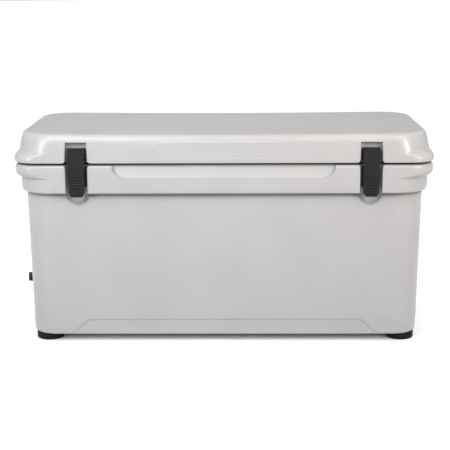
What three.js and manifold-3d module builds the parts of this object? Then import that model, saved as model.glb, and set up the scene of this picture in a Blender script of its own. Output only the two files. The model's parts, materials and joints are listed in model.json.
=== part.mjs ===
// A rotomoulded cooler chest: a foam-filled tub and lid on a full-length hinge rod, two front
// latches, a screw-in drain plug and four rubber feet. Millimetres, +Z up, front at -Y.
import * as THREE from 'three';
import { mergeVertices } from 'three/addons/utils/BufferGeometryUtils.js';
import Module from 'manifold-3d';

const wasm = await Module();
wasm.setup();

// ---- driving dimensions ----
const GAP = 0.35; // clearance between pieces that touch
const PORT_DEPTH = 5; // of the blind pockets that the filler plugs close
const MARGIN = 20; // how far a cutter runs past the face it opens

// tub, measured from its own centre
const FOOT_H = 18;
const RIM_Z = 419;
const BAND_X = 466;
const BAND_Y = 225;
const BEAD_X = 473.5;
const BAND_BOTTOM_Z = 356;
const WALL_X = 448;
const WALL_Y = 197;
const WALL_BASE_Z = 30;
const WALL_TOP_Z = 344;
const WALL_DRAFT = 0.0245; // outward lean of the walls, per millimetre of height

// chest cavity
const FLOOR_Z = 91;
const CAVITY_X = 404;
const CAVITY_Y = 155;
const CAVITY_R = 40;
const FLOOR_FILLET = 20;
const CAVITY_DRAFT = 0.03;

// lid
const LID_X = 475;
const LID_Y = 219.5;
const LID_SHIFT_Y = -5.5; // the lid stops in front of the hinge axis
const LID_Z = 424;
const TOP_Z = 490;
const TOP_SAG = 3.5; // dip at the middle of the lid's top
const PAD_X = 394;
const PAD_Y = 144;
const PAD_Z = 404;
const GROOVE_Z = 428;
const SEAL_X = 430;
const SEAL_Y = 182;
const SEAL_W = 13;

// hinge
const HINGE_Y = 213;
const HINGE_Z = 421.5;
const KNUCKLE_R = 9.5;
const KNUCKLE_L = 84;
const KNUCKLE_COUNT = 9;
const KNUCKLE_GAP = 1.2;
const SCALLOP_R = KNUCKLE_R + 0.7;
const ROD_R = 4;
const ROD_BORE_R = 4.45;
const ROD_CAP_L = 6;
const ROD_NOTCH_L = 12;

// latches
const LATCH_X = 329.5;
const LATCH_FLOOR_Y = -208;
const LATCH_RECESS_W = 45;
const LATCH_RECESS_TOP = 469;
const LEVER_FRONT_Y = -230;
const LEVER_W = 37.5;
const LEVER_TOP = 459.5;
const LEVER_BOTTOM = 348;
const LEVER_T = 7;
const PIVOT_Y = -221.5;
const PIVOT_Z = 450.5;
const PIN_R = 2.5;
const PIN_BORE_R = 2.95;
const EAR_R = 5;
const EAR_X = 11.5;
const EAR_T = 3;
const EAR_CLEARANCE = 0.5; // between an ear and the lever's boss beside it
const RIB_COUNT = 6;
const RIB_PITCH = 6.5;
const BASE_T = 2.7;
const BRACKET_TOP = 457.5;
const BRACKET_SCREW_X = 14;
const BRACKET_SCREW_Z = 434;
const KEEPER_BOTTOM = 368;
const KEEPER_TOP = 415;
const KEEPER_SCREW_INSET = 8;
const KEEPER_LIP_Z = 397;
const KEEPER_LIP_Y = -216.5;

// hollows in the tub's front and ends
const FINGER_TOP_X = 247;
const FINGER_R = 30;
const FINGER_Z = 389;
const FINGER_DEPTH = 9;
const KICK_TOP_X = 314;
const KICK_BOTTOM_X = 352;
const KICK_TOP_Z = 54;
const KICK_Y = 194.2;
const SCOOP_W = 38;
const SCOOP_Z = 332;
const SCOOP_DEPTH = 12;
const GRIP_Y = 95;
const GRIP_TOP = 346;
const GRIP_BOTTOM = 288;
const GRIP_DEPTH = 24;
const GRIP_BACK_H = 14;
const GRIP_TAPER = 14; // length of each sloping end
const GRIP_END_DEPTH = 3;

// drain, feet and filler plugs
const DRAIN_Z = 106;
const DRAIN_REACH = 486; // end of the plug's grip
const DRAIN_WALL_X = 450.2;
const DRAIN_R = 13;
const DRAIN_BORE_R = 10;
const DRAIN_WELL_R = 21;
const DRAIN_WELL_DEPTH = 14;
const FOOT_R = 31;
const FOOT_X = 411;
const FOOT_Y = 152;
const BODY_PORT_R = 14;
const LID_PORT_R = 10;
const LID_PORT_Z = 462;

// the tub's centre, seen from the middle of the whole object's footprint
const CENTRE_X = (DRAIN_REACH - LID_X) / 2;
const CENTRE_Y = (-LEVER_FRONT_Y - BAND_Y) / 2;

// ---- materials ----
function finish(colour, roughness, metalness = 0) {
  return new THREE.MeshStandardMaterial({ color: colour, roughness, metalness });
}
const SHELL = finish(0xc9c8cc, 0.35);
const BLACK_NYLON = finish(0x262628, 0.45);
const RUBBER = finish(0x1b1b1c, 0.85);
const SEAL_RUBBER = finish(0x5d5e61, 0.8);
const STEEL = finish(0xb9bcc0, 0.3, 1);

// ---- geometry helpers ----
function toSolid(geometry) {
  const bare = geometry.clone();
  bare.deleteAttribute('normal');
  bare.deleteAttribute('uv');
  const merged = mergeVertices(bare, 1e-4);
  const vertProperties = new Float32Array(merged.attributes.position.array);
  const triVerts = new Uint32Array(merged.index.array);
  return new wasm.Manifold(new wasm.Mesh({ numProp: 3, vertProperties, triVerts }));
}

function toGeometry(solid) {
  const mesh = solid.getMesh();
  const geometry = new THREE.BufferGeometry();
  geometry.setAttribute('position', new THREE.BufferAttribute(new Float32Array(mesh.vertProperties), 3));
  geometry.setIndex(new THREE.BufferAttribute(new Uint32Array(mesh.triVerts), 1));
  return geometry;
}

function centroid(ring) {
  const sum = ring.reduce((total, point) => total.add(point), new THREE.Vector3());
  return sum.divideScalar(ring.length);
}

// A closed skin over rings that all have the same number of points, counter-clockwise
// seen from the last ring's side.
function skin(rings) {
  const count = rings[0].length;
  const points = rings.flat();
  const first = points.push(centroid(rings[0])) - 1;
  const last = points.push(centroid(rings.at(-1))) - 1;
  const index = [];
  for (let i = 0; i < count; i += 1) {
    const next = (i + 1) % count;
    index.push(first, next, i);
    const top = (rings.length - 1) * count;
    index.push(last, top + i, top + next);
    for (let level = 0; level < rings.length - 1; level += 1) {
      const low = level * count;
      const high = low + count;
      index.push(low + i, low + next, high + next);
      index.push(low + i, high + next, high + i);
    }
  }
  const geometry = new THREE.BufferGeometry().setFromPoints(points);
  geometry.setIndex(index);
  return geometry;
}

// A rounded rectangle at one height; steps is how many pieces its long sides have.
function roundedRing({ z, x, y, r, shiftY = 0, sag = 0, steps = 1, arc = 5 }) {
  const ring = [];
  const corners = [[1, -1], [1, 1], [-1, 1], [-1, -1]];
  corners.forEach(([sideX, sideY], corner) => {
    for (let i = 0; i <= arc; i += 1) {
      const angle = (corner - 1 + i / arc) * (Math.PI / 2);
      const px = sideX * (x - r) + r * Math.cos(angle);
      const py = sideY * (y - r) + r * Math.sin(angle);
      ring.push(new THREE.Vector3(px, py + shiftY, z));
    }
    const longSide = corner % 2 === 1;
    for (let i = 1; longSide && i < steps; i += 1) {
      const px = sideX * (x - r) * (1 - 2 * i / steps);
      ring.push(new THREE.Vector3(px, sideY * y + shiftY, z));
    }
  });
  for (const point of ring) {
    point.z -= sag * (1 - (point.x / x) ** 2);
  }
  return ring;
}

function loft(sections, common = {}) {
  return toSolid(skin(sections.map(([z, x, y, r]) => roundedRing({ z, x, y, r, ...common }))));
}

function box(x0, x1, y0, y1, z0, z1) {
  const geometry = new THREE.BoxGeometry(x1 - x0, y1 - y0, z1 - z0);
  geometry.translate((x0 + x1) / 2, (y0 + y1) / 2, (z0 + z1) / 2);
  return toSolid(geometry);
}

function cylinderX(r, x0, x1, y, z, sides = 20) {
  const geometry = new THREE.CylinderGeometry(r, r, x1 - x0, sides);
  geometry.rotateZ(Math.PI / 2);
  geometry.translate((x0 + x1) / 2, y, z);
  return toSolid(geometry);
}

function cylinderY(r, y0, y1, x, z, sides = 16) {
  const geometry = new THREE.CylinderGeometry(r, r, y1 - y0, sides);
  geometry.translate(x, (y0 + y1) / 2, z);
  return toSolid(geometry);
}

function cylinderZ(r, z0, z1, x, y, sides = 20) {
  const geometry = new THREE.CylinderGeometry(r, r, z1 - z0, sides);
  geometry.rotateX(Math.PI / 2);
  geometry.translate(x, y, (z0 + z1) / 2);
  return toSolid(geometry);
}

// A turned piece along X, from [radius, distance out towards that side] profile points.
function turnedX(profile, side, y, z, sides = 18) {
  const points = profile.map(([r, reach]) => new THREE.Vector2(r, reach));
  const geometry = new THREE.LatheGeometry(points, sides);
  geometry.rotateZ(-side * Math.PI / 2);
  geometry.translate(0, y, z);
  return toSolid(geometry);
}

function turnedZ(profile, sides = 24) {
  const points = profile.map(([r, z]) => new THREE.Vector2(r, z));
  const geometry = new THREE.LatheGeometry(points, sides);
  geometry.rotateX(Math.PI / 2);
  return toSolid(geometry);
}

function wallX(z) {
  return WALL_X + (z - WALL_BASE_Z) * WALL_DRAFT;
}

function wallY(z) {
  return WALL_Y + (z - WALL_BASE_Z) * WALL_DRAFT;
}

function cavityX(z) {
  return CAVITY_X - (RIM_Z - z) * CAVITY_DRAFT;
}

function cavityY(z) {
  return CAVITY_Y - (RIM_Z - z) * CAVITY_DRAFT;
}

// ---- tub ----
function tubOuter() {
  return loft([
    [FOOT_H, WALL_X - 5, WALL_Y - 5, 50],
    [FOOT_H + 2, WALL_X - 2.2, WALL_Y - 2.2, 53],
    [FOOT_H + 7, WALL_X - 0.4, WALL_Y - 0.4, 55],
    [WALL_BASE_Z, wallX(WALL_BASE_Z), wallY(WALL_BASE_Z), 56],
    [WALL_TOP_Z, wallX(WALL_TOP_Z), wallY(WALL_TOP_Z), 72],
    [BAND_BOTTOM_Z - 5, BAND_X - 8, BAND_Y - 14, 76],
    [BAND_BOTTOM_Z - 1, BAND_X - 4, BAND_Y - 6, 81],
    [BAND_BOTTOM_Z + 4, BAND_X - 1, BAND_Y - 1, 84],
    [BAND_BOTTOM_Z + 9, BAND_X, BAND_Y, 85],
    [391, BAND_X + 0.5, BAND_Y, 84],
    [394, BEAD_X - 4.5, BAND_Y, 72],
    [398, BEAD_X - 1, BAND_Y, 56],
    [402, BEAD_X, BAND_Y, 52],
    [RIM_Z - 5, BEAD_X, BAND_Y, 52],
    [RIM_Z - 1.5, BEAD_X - 1.5, BAND_Y - 1.5, 50],
    [RIM_Z, BEAD_X - 4.5, BAND_Y - 4.5, 47],
  ]);
}

function chestCavity() {
  const section = (z, inset, r) => [z, cavityX(z) - inset, cavityY(z) - inset, r];
  return loft([
    section(FLOOR_Z, FLOOR_FILLET, CAVITY_R - FLOOR_FILLET * 0.5),
    section(FLOOR_Z + FLOOR_FILLET * 0.3, FLOOR_FILLET * 0.3, CAVITY_R),
    section(FLOOR_Z + FLOOR_FILLET, 0, CAVITY_R),
    section(RIM_Z + MARGIN, 0, CAVITY_R),
  ]);
}

// The round well in the cavity's wall and floor that the drain's nut sits in.
function drainWell() {
  const wall = cavityX(DRAIN_Z);
  return cylinderX(DRAIN_WELL_R, -wall, DRAIN_WELL_DEPTH - wall, 0, DRAIN_Z, 24);
}

// The grip hollow under one end's band, deepest at its roof.
function gripHollow(side) {
  const section = (y, depth) => {
    const inner = wallX(GRIP_TOP) - depth;
    const outer = BAND_X + MARGIN;
    const profile = [
      [outer, GRIP_TOP],
      [inner, GRIP_TOP],
      [inner, GRIP_TOP - GRIP_BACK_H],
      [wallX(GRIP_BOTTOM), GRIP_BOTTOM],
      [outer, GRIP_BOTTOM],
    ];
    return profile.map(([x, z]) => new THREE.Vector3(side * x, y, z));
  };
  const rings = [
    section(-GRIP_Y, GRIP_END_DEPTH),
    section(GRIP_TAPER - GRIP_Y, GRIP_DEPTH),
    section(GRIP_Y - GRIP_TAPER, GRIP_DEPTH),
    section(GRIP_Y, GRIP_END_DEPTH),
  ];
  return toSolid(skin(side > 0 ? rings.reverse() : rings));
}

// The long finger hollow in the top of the front band, with round lower corners.
function fingerHollow() {
  const ring = (y, inset) => {
    const half = FINGER_TOP_X - inset;
    const low = FINGER_Z + inset;
    const points = [];
    for (let i = 0; i <= 6; i += 1) {
      const angle = Math.PI + (i / 6) * (Math.PI / 2);
      const x = -half + FINGER_R + FINGER_R * Math.cos(angle);
      points.push(new THREE.Vector3(x, y, low + FINGER_R + FINGER_R * Math.sin(angle)));
    }
    const mirrored = points.map((point) => new THREE.Vector3(-point.x, y, point.z)).reverse();
    const top = RIM_Z + MARGIN;
    return [...points, ...mirrored, new THREE.Vector3(half, y, top), new THREE.Vector3(-half, y, top)];
  };
  const front = -BAND_Y - 5;
  return toSolid(skin([
    ring(-BAND_Y + FINGER_DEPTH, 5),
    ring(-BAND_Y + FINGER_DEPTH - 2, 3),
    ring(-BAND_Y, 0),
    ring(front, 0),
  ]));
}

// The shallow kick panel along the foot of the front or back wall.
function kickPanel(side) {
  const ring = (y, inset) => [
    new THREE.Vector3(-KICK_BOTTOM_X + inset, side * y, FOOT_H - MARGIN),
    new THREE.Vector3(KICK_BOTTOM_X - inset, side * y, FOOT_H - MARGIN),
    new THREE.Vector3(KICK_BOTTOM_X - inset, side * y, FOOT_H + 2),
    new THREE.Vector3(KICK_TOP_X - inset, side * y, KICK_TOP_Z - inset),
    new THREE.Vector3(-KICK_TOP_X + inset, side * y, KICK_TOP_Z - inset),
    new THREE.Vector3(-KICK_BOTTOM_X + inset, side * y, FOOT_H + 2),
  ];
  const rings = [ring(KICK_Y, 1.5), ring(WALL_Y + 1, 0), ring(WALL_Y + MARGIN, 0)];
  return toSolid(skin(side < 0 ? rings : rings.map((points) => points.reverse())));
}

// The space that one latch stands in, through the band and into the lid.
function latchHollow(x) {
  const half = LATCH_RECESS_W / 2;
  const slot = box(x - half, x + half, -BAND_Y - MARGIN, LATCH_FLOOR_Y, LEVER_BOTTOM - 14, LATCH_RECESS_TOP);
  return slot.add(fingerScoop(x));
}

// The round-bottomed scoop below a latch, where a finger reaches behind the lever.
function fingerScoop(x) {
  const ring = (y, inset) => {
    const points = [];
    const r = SCOOP_W / 2 - inset;
    const centreZ = SCOOP_Z + SCOOP_W / 2;
    for (let i = 0; i <= 8; i += 1) {
      const angle = Math.PI + (i / 8) * Math.PI;
      points.push(new THREE.Vector3(x + r * Math.cos(angle), y, centreZ + r * Math.sin(angle)));
    }
    points.push(new THREE.Vector3(x + r, y, BAND_BOTTOM_Z + 6 - inset));
    points.push(new THREE.Vector3(x - r, y, BAND_BOTTOM_Z + 6 - inset));
    return points;
  };
  const wall = -wallY(BAND_BOTTOM_Z);
  return toSolid(skin([
    ring(wall + SCOOP_DEPTH, 8),
    ring(wall + SCOOP_DEPTH - 4, 3),
    ring(wall, 0),
    ring(-BAND_Y - MARGIN, 0),
  ]));
}

function footPlaces() {
  return [[-FOOT_X, -FOOT_Y], [FOOT_X, -FOOT_Y], [FOOT_X, FOOT_Y], [-FOOT_X, FOOT_Y]];
}

// The i-th hinge knuckle's span along X. Even ones belong to the tub, odd ones to the lid.
function knuckleSpan(i) {
  const start = (i - KNUCKLE_COUNT / 2) * KNUCKLE_L;
  return [start + KNUCKLE_GAP / 2, start + KNUCKLE_L - KNUCKLE_GAP / 2];
}

function hingeRow(wanted, make) {
  const pieces = [];
  for (let i = 0; i < KNUCKLE_COUNT; i += 1) {
    if (i % 2 === wanted) {
      pieces.push(make(...knuckleSpan(i)));
    }
  }
  return pieces.reduce((total, piece) => total.add(piece));
}

function knuckles(wanted) {
  return hingeRow(wanted, (x0, x1) => cylinderX(KNUCKLE_R, x0, x1, HINGE_Y, HINGE_Z, 14));
}

function scallops(wanted) {
  return hingeRow(wanted, (x0, x1) => (
    cylinderX(SCALLOP_R, x0 - KNUCKLE_GAP, x1 + KNUCKLE_GAP, HINGE_Y, HINGE_Z, 14)
  ));
}

// The notches in the tub's rim that the lid's knuckles turn in, open to the back.
function rimNotches() {
  return hingeRow(1, (x0, x1) => box(
    x0 - KNUCKLE_GAP, x1 + KNUCKLE_GAP, HINGE_Y, BAND_Y + MARGIN, HINGE_Z - SCALLOP_R, RIM_Z + MARGIN,
  ));
}

// The rod's bore through every knuckle, and the open notch past each end that it goes in by.
function rodPath() {
  const end = (KNUCKLE_COUNT * KNUCKLE_L) / 2;
  const bore = cylinderX(ROD_BORE_R, -end, end, HINGE_Y, HINGE_Z, 12);
  const left = cylinderX(SCALLOP_R, -end - ROD_NOTCH_L, -end + KNUCKLE_GAP / 2, HINGE_Y, HINGE_Z, 14);
  const right = cylinderX(SCALLOP_R, end - KNUCKLE_GAP / 2, end + ROD_NOTCH_L, HINGE_Y, HINGE_Z, 14);
  return bore.add(left).add(right);
}

function bodyShell() {
  let shell = tubOuter().add(knuckles(0));
  shell = shell.subtract(scallops(1)).subtract(rimNotches()).subtract(rodPath());
  shell = shell.subtract(fingerHollow()).subtract(kickPanel(-1)).subtract(kickPanel(1));
  for (const side of [-1, 1]) {
    shell = shell.subtract(gripHollow(side)).subtract(latchHollow(side * LATCH_X));
    for (const [x, z] of keeperScrews(side * LATCH_X)) {
      shell = shell.subtract(screwPilot(x, z));
    }
  }
  shell = shell.subtract(chestCavity()).subtract(drainWell());
  shell = shell.subtract(cylinderX(DRAIN_R + 0.4, -BAND_X - MARGIN, -CAVITY_X + MARGIN, 0, DRAIN_Z, 24));
  for (const [x, y] of footPlaces()) {
    shell = shell.subtract(cylinderZ(3.4, 0, FOOT_H + 20, x, y, 10));
  }
  return shell.subtract(cylinderZ(BODY_PORT_R, 0, FOOT_H + PORT_DEPTH, 0, 0, 24));
}

function bodyPortPlug() {
  return cylinderZ(BODY_PORT_R - GAP, FOOT_H + GAP, FOOT_H + PORT_DEPTH - GAP, 0, 0, 24);
}

// ---- feet ----
function foot() {
  return turnedZ([
    [4, 8], [9, 8], [9, 0], [FOOT_R - 3, 0], [FOOT_R, 3], [FOOT_R, FOOT_H - GAP],
    [4, FOOT_H - GAP], [4, 8],
  ], 20);
}

function footScrew() {
  return turnedZ([[0, 3.2], [6, 3.2], [7.5, 4.5], [7.5, 8 - GAP], [3, 8 - GAP], [3, 36], [0, 37.5]], 8);
}

// ---- lid ----
function lidOuter() {
  const common = { shiftY: LID_SHIFT_Y, steps: 6 };
  const sections = [
    [LID_Z, LID_X - 4, LID_Y - 3.5, 47, 0],
    [LID_Z + 1.2, LID_X - 1.2, LID_Y - 1, 50, 0],
    [LID_Z + 4, LID_X, LID_Y, 51, 0],
    [440, LID_X, LID_Y, 51, 0],
    [445, LID_X - 1.5, LID_Y, 56, 0],
    [449, LID_X - 5, LID_Y - 0.2, 68, 0],
    [452, LID_X - 7, LID_Y - 0.6, 78, 0],
    [477, LID_X - 13, LID_Y - 6, 80, 0.4],
    [482, LID_X - 15, LID_Y - 9, 78, 0.6],
    [486, LID_X - 18.5, LID_Y - 13, 74, 0.8],
    [488.8, LID_X - 23.5, LID_Y - 18.5, 69, 0.9],
    [TOP_Z, LID_X - 30, LID_Y - 26, 62, 1],
  ].map(([z, x, y, r, dip]) => roundedRing({ z, x, y, r, sag: TOP_SAG * dip, ...common }));
  const edge = sections.at(-1);
  const middle = centroid(edge);
  for (const scale of [0.7, 0.35]) {
    sections.push(edge.map((point) => {
      const x = middle.x + (point.x - middle.x) * scale;
      const y = middle.y + (point.y - middle.y) * scale;
      return new THREE.Vector3(x, y, TOP_Z - TOP_SAG * (1 - (x / LID_X) ** 2));
    }));
  }
  return toSolid(skin(sections));
}

function lidPad() {
  return loft([
    [PAD_Z, PAD_X - 6, PAD_Y - 6, 30],
    [PAD_Z + 2, PAD_X - 2, PAD_Y - 2, 33],
    [PAD_Z + 6, PAD_X, PAD_Y, 35],
    [LID_Z + 6, PAD_X, PAD_Y, 35],
  ]);
}

function sealRing(clear, z0, z1) {
  const ring = (x, y, r) => loft([[z0, x, y, r], [z1, x, y, r]]);
  const outer = ring(SEAL_X - clear, SEAL_Y - clear, 50);
  const inner = SEAL_W - clear;
  return outer.subtract(loft([
    [z0 - MARGIN, SEAL_X - inner, SEAL_Y - inner, 40],
    [z1 + MARGIN, SEAL_X - inner, SEAL_Y - inner, 40],
  ]));
}

function lidShell() {
  let shell = lidOuter().add(lidPad());
  const web = hingeRow(1, (x0, x1) => box(x0, x1, HINGE_Y - 14, HINGE_Y, HINGE_Z, HINGE_Z + KNUCKLE_R));
  shell = shell.add(web).add(knuckles(1));
  shell = shell.subtract(scallops(0)).subtract(rodPath());
  shell = shell.subtract(sealRing(0, LID_Z - MARGIN, GROOVE_Z));
  for (const side of [-1, 1]) {
    shell = shell.subtract(latchHollow(side * LATCH_X));
    for (const [x, z] of bracketScrews(side * LATCH_X)) {
      shell = shell.subtract(screwPilot(x, z));
    }
  }
  return shell.subtract(cylinderY(LID_PORT_R, lidBackY() - PORT_DEPTH, BAND_Y + MARGIN, 0, LID_PORT_Z, 20));
}

// The back face of the lid at the height of its filler port.
function lidBackY() {
  const draft = (LID_PORT_Z - 452) * (5.4 / 25);
  return LID_SHIFT_Y + LID_Y - 0.6 - draft;
}

function lidPortPlug() {
  const pocket = lidBackY() - PORT_DEPTH;
  return cylinderY(LID_PORT_R - GAP, pocket + GAP, pocket + 3, 0, LID_PORT_Z, 20);
}

function lidSeal() {
  return sealRing(GAP, RIM_Z + GAP, GROOVE_Z - GAP);
}

// ---- hinge rod ----
function hingeRod() {
  const half = (KNUCKLE_COUNT * KNUCKLE_L) / 2 - KNUCKLE_GAP - ROD_CAP_L;
  return cylinderX(ROD_R, -half, half, HINGE_Y, HINGE_Z, 12);
}

function rodCap(side) {
  const end = (KNUCKLE_COUNT * KNUCKLE_L) / 2 - KNUCKLE_GAP / 2;
  return turnedX([
    [0, end - ROD_CAP_L + GAP], [ROD_R, end - ROD_CAP_L + GAP], [ROD_R, end + GAP],
    [KNUCKLE_R - 2, end + GAP], [KNUCKLE_R - 2.5, end + 2], [0, end + 2.6],
  ], side, HINGE_Y, HINGE_Z, 12);
}

// ---- latches ----
function bracketScrews(x) {
  return [[x - BRACKET_SCREW_X, BRACKET_SCREW_Z], [x + BRACKET_SCREW_X, BRACKET_SCREW_Z]];
}

function keeperScrews(x) {
  return [[x, KEEPER_BOTTOM + KEEPER_SCREW_INSET], [x, KEEPER_TOP - KEEPER_SCREW_INSET]];
}

function screwPilot(x, z) {
  return cylinderY(2.3, LATCH_FLOOR_Y - 1, LATCH_FLOOR_Y + 15, x, z, 10);
}

function latchScrew(x, z) {
  const face = LATCH_FLOOR_Y - GAP - BASE_T - GAP;
  const points = [[0, -2], [3, -1.6], [3.7, 0], [1.9, 0], [1.9, 15], [0, 16]];
  const profile = points.map(([r, depth]) => new THREE.Vector2(r, depth));
  const geometry = new THREE.LatheGeometry(profile, 8);
  geometry.translate(x, face, z);
  return toSolid(geometry);
}

function mountingPlate(x, z0, z1, screws) {
  const half = LATCH_RECESS_W / 2 - 1.5;
  let plate = box(x - half, x + half, LATCH_FLOOR_Y - GAP - BASE_T, LATCH_FLOOR_Y - GAP, z0, z1);
  for (const [screwX, screwZ] of screws) {
    plate = plate.subtract(cylinderY(2.4, -BAND_Y, LATCH_FLOOR_Y + 1, screwX, screwZ, 10));
  }
  return plate;
}

function pivotSpan(x, half, r, sides) {
  return cylinderX(r, x - half, x + half, PIVOT_Y, PIVOT_Z, sides);
}

function bracket(x) {
  let piece = mountingPlate(x, LID_Z + 3, BRACKET_TOP, bracketScrews(x));
  for (const side of [-1, 1]) {
    const inner = x + side * EAR_X;
    const outer = inner + side * EAR_T;
    const [x0, x1] = [Math.min(inner, outer), Math.max(inner, outer)];
    const root = LATCH_FLOOR_Y - GAP - 1;
    piece = piece.add(cylinderX(EAR_R, x0, x1, PIVOT_Y, PIVOT_Z, 12));
    piece = piece.add(box(x0, x1, PIVOT_Y, root, PIVOT_Z - EAR_R, PIVOT_Z + EAR_R));
  }
  return piece.subtract(pivotSpan(x, LEVER_W, PIN_BORE_R, 12));
}

function keeper(x) {
  const plate = mountingPlate(x, KEEPER_BOTTOM, KEEPER_TOP, keeperScrews(x));
  const lip = box(x - 12, x + 12, KEEPER_LIP_Y, LATCH_FLOOR_Y - GAP - 1, KEEPER_LIP_Z - 4, KEEPER_LIP_Z);
  return plate.add(lip);
}

function latchPin(x) {
  return pivotSpan(x, LEVER_W / 2 - 0.6, PIN_R, 12);
}

// The lever's outline from the front: round shoulders above, chamfered toe below.
function leverOutline(x, inset) {
  const half = LEVER_W / 2 - inset;
  const top = LEVER_TOP - inset;
  const toe = LEVER_BOTTOM + inset;
  const r = 5;
  const shoulders = [];
  for (let i = 0; i <= 4; i += 1) {
    const angle = (i / 4) * (Math.PI / 2);
    shoulders.push([half - r + r * Math.cos(angle), top - r + r * Math.sin(angle)]);
  }
  const mirrored = shoulders.map(([px, pz]) => [-px, pz]).reverse();
  const outline = [[half - 6, toe], [half - 0.6, toe + 9], ...shoulders, ...mirrored];
  outline.push([-half + 0.6, toe + 9], [-half + 6, toe]);
  return outline.map(([px, pz]) => [x + px, pz]);
}

function lever(x) {
  const back = LEVER_FRONT_Y + LEVER_T;
  const ring = (y, inset) => leverOutline(x, inset).map(([px, pz]) => new THREE.Vector3(px, y, pz));
  let piece = toSolid(skin([ring(back, 0), ring(LEVER_FRONT_Y + 2, 0), ring(LEVER_FRONT_Y + 0.6, 1.4)]));
  for (let i = 0; i < RIB_COUNT; i += 1) {
    const z = LEVER_BOTTOM + 9 + i * RIB_PITCH;
    piece = piece.add(box(x - 12, x + 12, LEVER_FRONT_Y, LEVER_FRONT_Y + 2, z - 1.2, z + 1.2));
  }
  for (const side of [-1, 1]) {
    const inner = x + side * (EAR_X + EAR_T + EAR_CLEARANCE);
    const outer = x + side * (LEVER_W / 2 - 0.2);
    const [x0, x1] = [Math.min(inner, outer), Math.max(inner, outer)];
    piece = piece.add(cylinderX(8, x0, x1, PIVOT_Y, PIVOT_Z, 14));
  }
  const pocket = EAR_X + EAR_T + EAR_CLEARANCE;
  const earRoom = EAR_R + 0.8;
  piece = piece.subtract(pivotSpan(x, pocket, earRoom, 14));
  piece = piece.subtract(box(x - pocket, x + pocket, PIVOT_Y - earRoom, back + 1, PIVOT_Z, LEVER_TOP + 1));
  piece = piece.subtract(pivotSpan(x, LEVER_W, PIN_BORE_R, 12));
  const hook = box(x - 10, x + 10, back - 1, KEEPER_LIP_Y - 0.8, KEEPER_LIP_Z - 11, KEEPER_LIP_Z - 5);
  return piece.add(hook);
}

// ---- drain ----
function drainFitting() {
  const face = DRAIN_WALL_X + GAP;
  const inside = CAVITY_X - 14;
  return turnedX([
    [DRAIN_BORE_R, inside], [DRAIN_R, inside], [DRAIN_R, face], [22, face], [22, face + 3],
    [20.5, face + 4.5], [DRAIN_BORE_R, face + 4.5], [DRAIN_BORE_R, inside],
  ], -1, 0, DRAIN_Z);
}

function drainNut() {
  const face = cavityX(DRAIN_Z) - GAP;
  const bore = DRAIN_R + GAP;
  return turnedX([
    [bore, face - 5], [17, face - 5], [19, face - 3.5], [19, face], [bore, face], [bore, face - 5],
  ], -1, 0, DRAIN_Z, 20);
}

function drainSeal() {
  const face = DRAIN_WALL_X + GAP + 4.5 + GAP;
  return turnedX([
    [DRAIN_BORE_R, face], [DRAIN_BORE_R + 5, face], [DRAIN_BORE_R + 5, face + 2],
    [DRAIN_BORE_R, face + 2], [DRAIN_BORE_R, face],
  ], -1, 0, DRAIN_Z, 20);
}

function drainPlug() {
  const face = DRAIN_WALL_X + GAP + 4.5 + GAP + 2 + GAP;
  const shank = DRAIN_BORE_R - 0.6;
  const head = turnedX([
    [0, face - 22], [shank - 1, face - 22], [shank, face - 20], [shank, face], [17, face],
    [18, face + 2], [18, face + 6], [16.5, face + 8], [0, face + 8],
  ], -1, 0, DRAIN_Z);
  const grip = cylinderX(11.5, -DRAIN_REACH, -face - 7, 0, DRAIN_Z, 24);
  const blade = box(-DRAIN_REACH - 1, -face + 1, -4.5, 4.5, DRAIN_Z - MARGIN, DRAIN_Z + MARGIN);
  return head.add(grip.intersect(blade));
}

// ---- assembly ----
const cooler = new THREE.Group();
cooler.name = 'cooler_chest';
cooler.position.set(CENTRE_X, CENTRE_Y, 0);

function place(name, solid, material, position = [0, 0, 0]) {
  const mesh = new THREE.Mesh(toGeometry(solid), material);
  mesh.name = name;
  mesh.position.set(...position);
  cooler.add(mesh);
}

place('body_shell', bodyShell(), SHELL);
place('body_port_plug', bodyPortPlug(), SHELL);
footPlaces().forEach(([x, y], i) => {
  const corner = ['front_left', 'front_right', 'back_right', 'back_left'][i];
  place(`foot_${corner}`, foot(), RUBBER, [x, y, 0]);
  place(`foot_screw_${corner}`, footScrew(), STEEL, [x, y, 0]);
});
place('drain_fitting', drainFitting(), BLACK_NYLON);
place('drain_nut', drainNut(), BLACK_NYLON);
place('drain_seal', drainSeal(), SEAL_RUBBER);
place('drain_plug', drainPlug(), BLACK_NYLON);
place('hinge_rod', hingeRod(), STEEL);
place('hinge_cap_left', rodCap(-1), BLACK_NYLON);
place('hinge_cap_right', rodCap(1), BLACK_NYLON);
place('lid_shell', lidShell(), SHELL);
place('lid_port_plug', lidPortPlug(), SHELL);
place('lid_seal', lidSeal(), SEAL_RUBBER);
for (const [name, side] of [['left', -1], ['right', 1]]) {
  const x = side * LATCH_X;
  place(`latch_bracket_${name}`, bracket(x), BLACK_NYLON);
  place(`latch_pin_${name}`, latchPin(x), STEEL);
  place(`latch_lever_${name}`, lever(x), BLACK_NYLON);
  place(`latch_keeper_${name}`, keeper(x), BLACK_NYLON);
  bracketScrews(x).forEach(([screwX, screwZ], i) => {
    place(`bracket_screw_${name}_${i + 1}`, latchScrew(screwX, screwZ), STEEL);
  });
  keeperScrews(x).forEach(([screwX, screwZ], i) => {
    place(`keeper_screw_${name}_${i + 1}`, latchScrew(screwX, screwZ), STEEL);
  });
}

export default cooler;
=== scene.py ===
"""A rotomoulded cooler chest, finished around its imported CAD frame.

Sizes in this file are millimetres, measured from the tub's own centre at floor level, with the
front at -Y. Every mesh is scaled to metres and moved to the frame's origin when it is made.
"""
import json
import math

import bpy
import numpy as np
from mathutils import Matrix, Vector


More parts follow.
